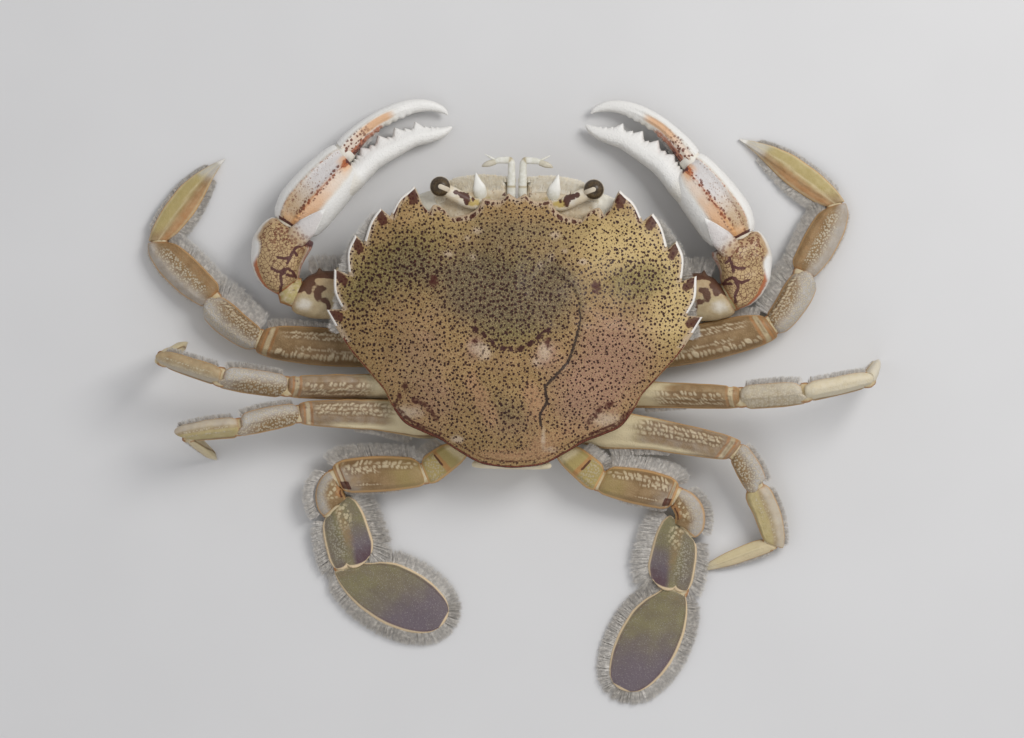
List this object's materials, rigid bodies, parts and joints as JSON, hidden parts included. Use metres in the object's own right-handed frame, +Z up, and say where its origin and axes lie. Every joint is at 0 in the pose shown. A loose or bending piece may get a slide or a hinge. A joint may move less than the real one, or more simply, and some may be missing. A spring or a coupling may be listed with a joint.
{
  "type": "paddle crab model",
  "caption": "Life-size still model of a paddle crab lying flat, claws forward, legs spread and hind paddles laid out, with toothed shell and fringes of hair.",
  "frame": {"origin": "The middle of the flat under the belly, on which the crab lies, at floor level.", "axes": "+Z up, shortest extent; -Y the way the crab faces; +X the crab's left, the longest extent across the spread legs."},
  "size_m": [0.1974, 0.1615, 0.0318],
  "materials": {
    "shell": "sandy tan shell, densely speckled maroon, satin",
    "leg": "tan to olive limb shell with paler netted patches, satin",
    "claw": "ivory claw with tan upper side and orange blush, satin",
    "paddle": "olive to violet paddle with pale rim, satin",
    "under": "pale cream underside, satin",
    "eye": "dark olive brown, glossy",
    "feeler": "tan feelers and eyestalks, satin"
  },
  "bodies": {
    "root": {"carapace": "shell", "underbody": "under", "abdomen": "under", "left_maxilliped": "under", "left_eyestalk": "feeler", "left_eye": "eye", "left_antennule": "feeler", "left_antenna": "feeler", "left_cheliped_merus": "leg", "left_cheliped_carpus": "claw", "left_cheliped_palm": "claw", "left_cheliped_finger": "claw", "left_leg_2_merus": "leg", "left_leg_2_carpus": "leg", "left_leg_2_propodus": "leg", "left_leg_2_dactyl": "leg", "left_leg_3_merus": "leg", "left_leg_3_carpus": "leg", "left_leg_3_propodus": "leg", "left_leg_3_dactyl": "leg", "left_leg_4_merus": "leg", "left_leg_4_carpus": "leg", "left_leg_4_propodus": "leg", "left_leg_4_dactyl": "leg", "left_leg_5_base": "leg", "left_leg_5_merus": "leg", "left_leg_5_carpus": "leg", "left_leg_5_propodus": "paddle", "left_leg_5_paddle": "paddle", "right_maxilliped": "under", "right_eyestalk": "feeler", "right_eye": "eye", "right_antennule": "feeler", "right_antenna": "feeler", "right_cheliped_merus": "leg", "right_cheliped_carpus": "claw", "right_cheliped_palm": "claw", "right_cheliped_finger": "claw", "right_leg_2_merus": "leg", "right_leg_2_carpus": "leg", "right_leg_2_propodus": "leg", "right_leg_2_dactyl": "leg", "right_leg_3_merus": "leg", "right_leg_3_carpus": "leg", "right_leg_3_propodus": "leg", "right_leg_3_dactyl": "leg", "right_leg_4_merus": "leg", "right_leg_4_carpus": "leg", "right_leg_4_propodus": "leg", "right_leg_4_dactyl": "leg", "right_leg_5_base": "leg", "right_leg_5_merus": "leg", "right_leg_5_carpus": "leg", "right_leg_5_propodus": "paddle", "right_leg_5_paddle": "paddle"}
  },
  "joints": []
}
